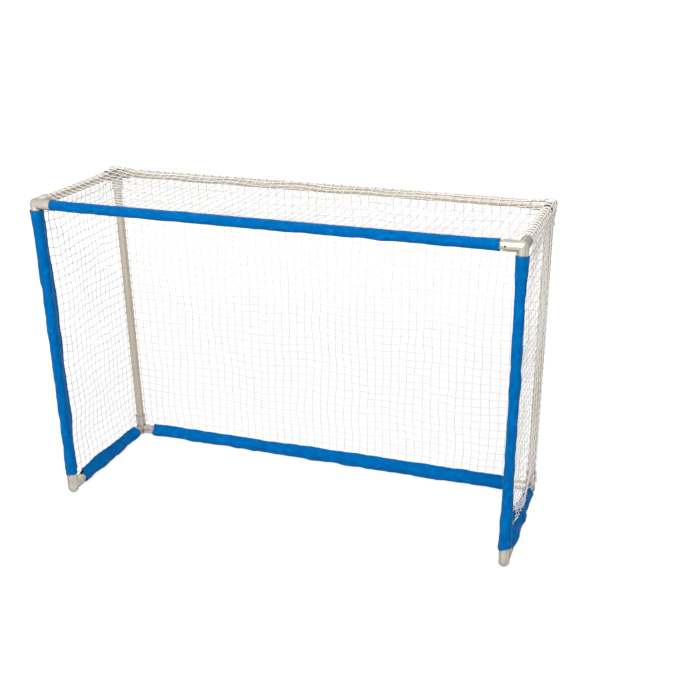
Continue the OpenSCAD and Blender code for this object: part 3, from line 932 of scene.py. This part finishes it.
def loose_strands(sleeve):
    """Meshes that have slipped down over the outside of a sleeve, and a strand that hangs from them.

    y is the distance behind the front post, and down is 0 at the sewn edge and 1 beside the bar."""
    beside_bar = (0.013, 0.027)     # how far out and up from the bar's axis it is at down = 1
    least = 0.0285                  # its least distance from the axis, outside the cloth
    above_edge = 0.22               # how far above the sewn edge the slipped meshes start
    groups = []

    def lay(y, down):
        up, out = sleeve.sewn_edge(Y_FRONT + y)
        place = np.stack([out + (beside_bar[0] - out) * down, up + (beside_bar[1] - up) * down], -1)
        place = place * np.maximum(1, least / np.linalg.norm(place, axis=-1)[..., None])
        path = np.stack([HALF_W + place[..., 0], Y_FRONT + y, Z_LOW + place[..., 1]], -1)
        groups.append((path[None], np.full((1, len(path)), STRAND_R), X + 0.3 * Y))

    for k, phase in enumerate((0, 0.45, 1, 1.6)):
        t = np.linspace(0, 10, 61)
        y = 0.290 + 0.018 * t + 0.004 * np.sin(1.7 * t + 2 * k)
        low = np.interp(y, (0.290, 0.350, 0.400, 0.440, 0.470), (0.30, 0.84, 0.62, 0.45, 0.12))
        depth = (low + above_edge) * (1 + 0.12 * np.sin(2.3 * t + k))
        lay(y, depth * zigzag(t, phase) - above_edge)
    for phase in (0, 1):
        t = np.linspace(0, 5, 31)
        y = 0.225 + 0.027 * t + 0.005 * np.sin(2.1 * t + 3 * phase)
        low = np.interp(y, (0.225, 0.260, 0.300, 0.360), (0.62, 0.76, 0.86, 0.84))
        high = np.interp(y, (0.225, 0.290, 0.360), (0.58, 0.25, 0.60))
        lay(y, high + (low - high) * zigzag(t, phase))
    hanging = (0.76, 0.74, 0.70, 0.66, 0.62, 0.56, 0.52, 0.53, 0.57)
    lay(np.linspace(0.260, 0.188, len(hanging)), np.array(hanging))
    return groups


# ---- Materials on the CAD nodes ----

def dress_nodes():
    tubes = [tube_material(axis) for axis in range(3)]
    by_start = {"corner_screws": screw_material(), "corner_": fitting_material(),
                "foot_pad_": rubber_material()}
    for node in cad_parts:
        if "sleeve" in node or node.startswith("net_"):
            continue
        mat = next((m for start, m in by_start.items() if node.startswith(start)), None)
        if mat is None:
            low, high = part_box(node)
            size = high - low
            mat = tubes[max(range(3), key=lambda k: size[k])]
        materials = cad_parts[node].data.materials
        materials.clear()
        materials.append(mat)


# ---- Stage ----

def looked_at(tree):
    """1 for rays that show the background: from the camera, off gloss and through glass."""
    path = tree.nodes.new("ShaderNodeLightPath")
    total = path.outputs["Is Camera Ray"]
    for name in ("Is Glossy Ray", "Is Transmission Ray"):
        total = maths(tree, "MAXIMUM", total, path.outputs[name])
    return total


def show(tree, surface, seen, otherwise):
    """Gives the surface one shader for the rays that look at it and another for the rest."""
    inputs = {"Fac": looked_at(tree), 1: otherwise.outputs[0], 2: seen.outputs[0]}
    tree.links.new(new_node(tree, "ShaderNodeMixShader", inputs).outputs[0], surface)


def floor_material():
    """To look at, a white glow that shows a faint shadow; it glows less near the goal. To all other
    rays it is a light grey floor."""
    mat = bpy.data.materials.new("floor_white")
    tree, surface = empty_tree(mat, "ShaderNodeOutputMaterial")
    floor = new_node(tree, "ShaderNodeBsdfDiffuse", {"Color": (0.62, 0.60, 0.57, 1)})
    shadow = new_node(tree, "ShaderNodeBsdfDiffuse", {"Color": (0.20, 0.20, 0.20, 1)})
    distance = new_node(tree, "ShaderNodeVectorMath", {0: coordinates(tree)}, operation="LENGTH")
    strength = spread(tree, distance.outputs["Value"], 1.2, 4.0, 0.88, 1.0)
    glow = new_node(tree, "ShaderNodeEmission", {"Strength": strength})
    seen = new_node(tree, "ShaderNodeAddShader", {0: shadow.outputs[0], 1: glow.outputs[0]})
    show(tree, surface, seen, floor)
    return mat


def make_floor():
    half_side, below_feet = 40.0, 0.0005
    corners = [(x * half_side, y * half_side, 0) for x, y in ((-1, -1), (1, -1), (1, 1), (-1, 1))]
    mesh = bpy.data.meshes.new("floor")
    mesh.from_pydata(corners, [], [(0, 1, 2, 3)])
    mesh.materials.append(floor_material())
    floor = new_object("floor", mesh)
    floor.location.z = -below_feet


def make_world():
    """White to look at, and a dimmer warm white for the light that it gives."""
    world = bpy.data.worlds.new("studio")
    bpy.context.scene.world = world
    tree, surface = empty_tree(world, "ShaderNodeOutputWorld")
    around = new_node(
        tree, "ShaderNodeBackground", {"Color": (1.0, 0.985, 0.965, 1), "Strength": 0.33})
    seen = new_node(tree, "ShaderNodeBackground", {"Color": (1, 1, 1, 1), "Strength": 1.0})
    show(tree, surface, seen, around)


def softbox(name, place, size, power, colour):
    """A rectangular light that points at the middle of the goal."""
    light = bpy.data.lights.new(name, "AREA")
    light.shape = "RECTANGLE"
    light.size, light.size_y = size
    light.energy = power
    light.color = colour
    obj = new_object(name, light)
    obj.location = place
    obj.rotation_mode = "QUATERNION"
    obj.rotation_quaternion = (Vector(GOAL_MIDDLE) - Vector(place)).to_track_quat("-Z", "Y")


def make_lights():
    softbox("key", (1.7, -4.9, 6.9), (3.0, 2.4), 358, (1.0, 0.998, 0.99))
    softbox("front", (-1.0, -4.8, 1.9), (2.6, 2.0), 82, (1.0, 0.995, 0.985))
    softbox("back", (-1.8, 4.5, 4.0), (4.0, 2.0), 79, (1.0, 1.0, 1.0))


def make_camera():
    """The photograph's camera, found from the goal's eight corners."""
    yaw, pitch, roll = (math.radians(a) for a in (-17.148, 23.992, 0.260))
    place = (1.3994, -3.4387, 2.1138)
    focal_px, frame_px = 1029.40, 700
    centre_px = (381.258, 388.326)
    data = bpy.data.cameras.new("camera")
    data.sensor_width = 36.0
    data.lens = data.sensor_width * focal_px / frame_px
    data.shift_x = (frame_px / 2 - centre_px[0]) / frame_px
    data.shift_y = (centre_px[1] - frame_px / 2) / frame_px
    data.clip_end = 200
    camera = new_object("camera", data)
    camera.location = place
    turn = Euler((math.pi / 2 - pitch, 0, -yaw)).to_matrix() @ Matrix.Rotation(roll, 3, "Z")
    camera.rotation_euler = turn.to_euler()
    bpy.context.scene.camera = camera


make_camera()
make_world()
make_lights()
make_floor()
dress_nodes()
make_sleeves(sleeve_material())
make_net(cord_material())

bpy.context.scene.view_settings.view_transform = "Standard"
